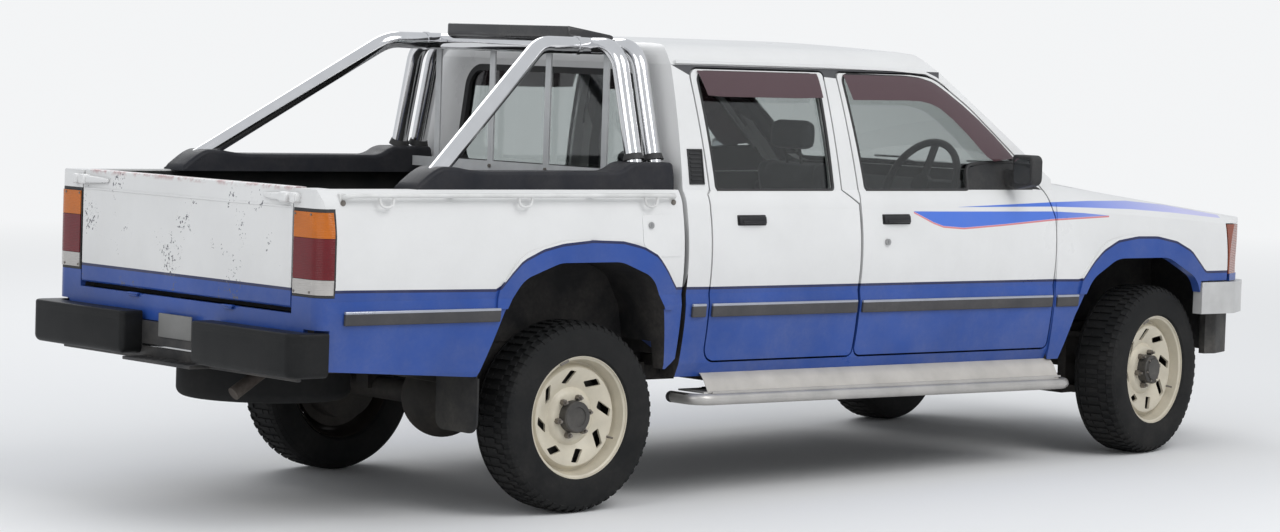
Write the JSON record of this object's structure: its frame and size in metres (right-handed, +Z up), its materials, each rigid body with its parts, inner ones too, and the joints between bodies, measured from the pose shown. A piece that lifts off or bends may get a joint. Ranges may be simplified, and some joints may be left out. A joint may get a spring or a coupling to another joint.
{
  "type": "double-cab pickup truck",
  "caption": "Double-cab four-wheel-drive pickup truck with a polished sport bar, a lined open bed, side steps and a step bumper.",
  "frame": {"origin": "on the ground at the middle of the overall length and width", "axes": "+X points forward along the truck, +Y to its left side, +Z up"},
  "size_m": [4.9787, 1.89, 1.7209],
  "materials": {
    "white_paint": "gloss, dusty",
    "black_paint": "satin",
    "cream_paint": "satin",
    "silver_paint": "satin",
    "chrome_tube": "polished",
    "cast_steel": "rough",
    "bare_steel": "dull",
    "black_plastic": "moulded",
    "lamp_plastic": "clear coated",
    "clear_glass": "clear",
    "tyre_rubber": "dusty",
    "soft_rubber": "dull",
    "grey_cloth": "woven"
  },
  "bodies": {
    "truck": {"bed": "white_paint", "bed_liner": "black_plastic", "cab_glass": "clear_glass", "cab_shell": "white_paint", "chassis_frame": "black_paint", "cross_members": "black_paint", "dashboard": "black_plastic", "driveline": "cast_steel", "exhaust": "bare_steel", "front_bumper": "white_paint", "front_fenders": "white_paint", "front_lamps": "lamp_plastic", "front_panel": "white_paint", "front_structure": "white_paint", "front_suspension": "cast_steel", "mud_flaps": "soft_rubber", "rear_bumper": "black_plastic", "rear_suspension": "cast_steel", "roll_bar": "chrome_tube", "roll_bar_covers": "black_plastic", "seats": "grey_cloth", "side_steps": "silver_paint", "spare_wheel": "tyre_rubber", "tail_lamps": "lamp_plastic"},
    "door_front_right": {"door_front_right": "white_paint", "glass_front_right": "clear_glass"},
    "door_front_left": {"door_front_left": "white_paint", "glass_front_left": "clear_glass"},
    "door_rear_right": {"door_rear_right": "white_paint", "glass_rear_right": "clear_glass"},
    "door_rear_left": {"door_rear_left": "white_paint", "glass_rear_left": "clear_glass"},
    "bonnet": {"bonnet": "white_paint"},
    "tailgate": {"tailgate": "white_paint"},
    "steering_wheel": {"steering_wheel": "black_plastic"},
    "knuckle_right": {"knuckle_right": "cast_steel"},
    "knuckle_left": {"knuckle_left": "cast_steel"},
    "wheel_rear_right": {"rim_rear_right": "cream_paint", "tyre_rear_right": "tyre_rubber"},
    "wheel_rear_left": {"rim_rear_left": "cream_paint", "tyre_rear_left": "tyre_rubber"},
    "wheel_front_right": {"rim_front_right": "cream_paint", "tyre_front_right": "tyre_rubber"},
    "wheel_front_left": {"rim_front_left": "cream_paint", "tyre_front_left": "tyre_rubber"}
  },
  "joints": [
    {"name": "door_front_right_hinge", "type": "hinge", "parent": "truck", "child": "door_front_right", "pos_m": [1.08224, -0.812, 0.77963], "axis": [0.025, 0, 0.9997], "range_deg": [0, 65]},
    {"name": "door_front_left_hinge", "type": "hinge", "parent": "truck", "child": "door_front_left", "pos_m": [1.08224, 0.812, 0.77963], "axis": [-0.025, 0, -0.9997], "range_deg": [0, 65]},
    {"name": "door_rear_right_hinge", "type": "hinge", "parent": "truck", "child": "door_rear_right", "pos_m": [0.01957, -0.812, 0.80616], "axis": [0.025, 0, 0.9997], "range_deg": [0, 65]},
    {"name": "door_rear_left_hinge", "type": "hinge", "parent": "truck", "child": "door_rear_left", "pos_m": [0.01957, 0.812, 0.80616], "axis": [-0.025, 0, -0.9997], "range_deg": [0, 65]},
    {"name": "tailgate_hinge", "type": "hinge", "parent": "truck", "child": "tailgate", "pos_m": [-2.35473, 0, 0.7834], "axis": [0, -1, 0], "range_deg": [0, 90]},
    {"name": "bonnet_hinge", "type": "hinge", "parent": "truck", "child": "bonnet", "pos_m": [1.36434, 0, 1.06068], "axis": [0, -1, 0], "range_deg": [0, 50]},
    {"name": "steer_left", "type": "hinge", "parent": "truck", "child": "knuckle_left", "pos_m": [1.75, 0.6, 0.341], "axis": [0, 0, 1], "range_deg": [-44, 22]},
    {"name": "steer_right", "type": "hinge", "parent": "truck", "child": "knuckle_right", "pos_m": [1.75, -0.6, 0.341], "axis": [0, 0, 1], "range_deg": [-45, 23]},
    {"name": "steering_wheel_turn", "type": "hinge", "parent": "truck", "child": "steering_wheel", "pos_m": [0.86505, -0.37, 1.09515], "axis": [-0.9031, 0, 0.4294], "range_deg": [-714, 362]},
    {"name": "wheel_rear_right_spin", "type": "hinge", "parent": "truck", "child": "wheel_rear_right", "pos_m": [-1.235, -0.72, 0.341], "axis": [0, 1, 0], "continuous": true},
    {"name": "wheel_rear_left_spin", "type": "hinge", "parent": "truck", "child": "wheel_rear_left", "pos_m": [-1.235, 0.72, 0.341], "axis": [0, 1, 0], "continuous": true},
    {"name": "wheel_front_right_spin", "type": "hinge", "parent": "knuckle_right", "child": "wheel_front_right", "pos_m": [1.7729, -0.71779, 0.341], "axis": [-0.1908, 0.9816, 0], "continuous": true},
    {"name": "wheel_front_left_spin", "type": "hinge", "parent": "knuckle_left", "child": "wheel_front_left", "pos_m": [1.7271, 0.71779, 0.341], "axis": [-0.1908, 0.9816, 0], "continuous": true}
  ],
  "couplings": [
    {"joint": "steer_right", "follows": "steer_left", "ratio": 1},
    {"joint": "steering_wheel_turn", "follows": "steer_left", "ratio": 16}
  ]
}
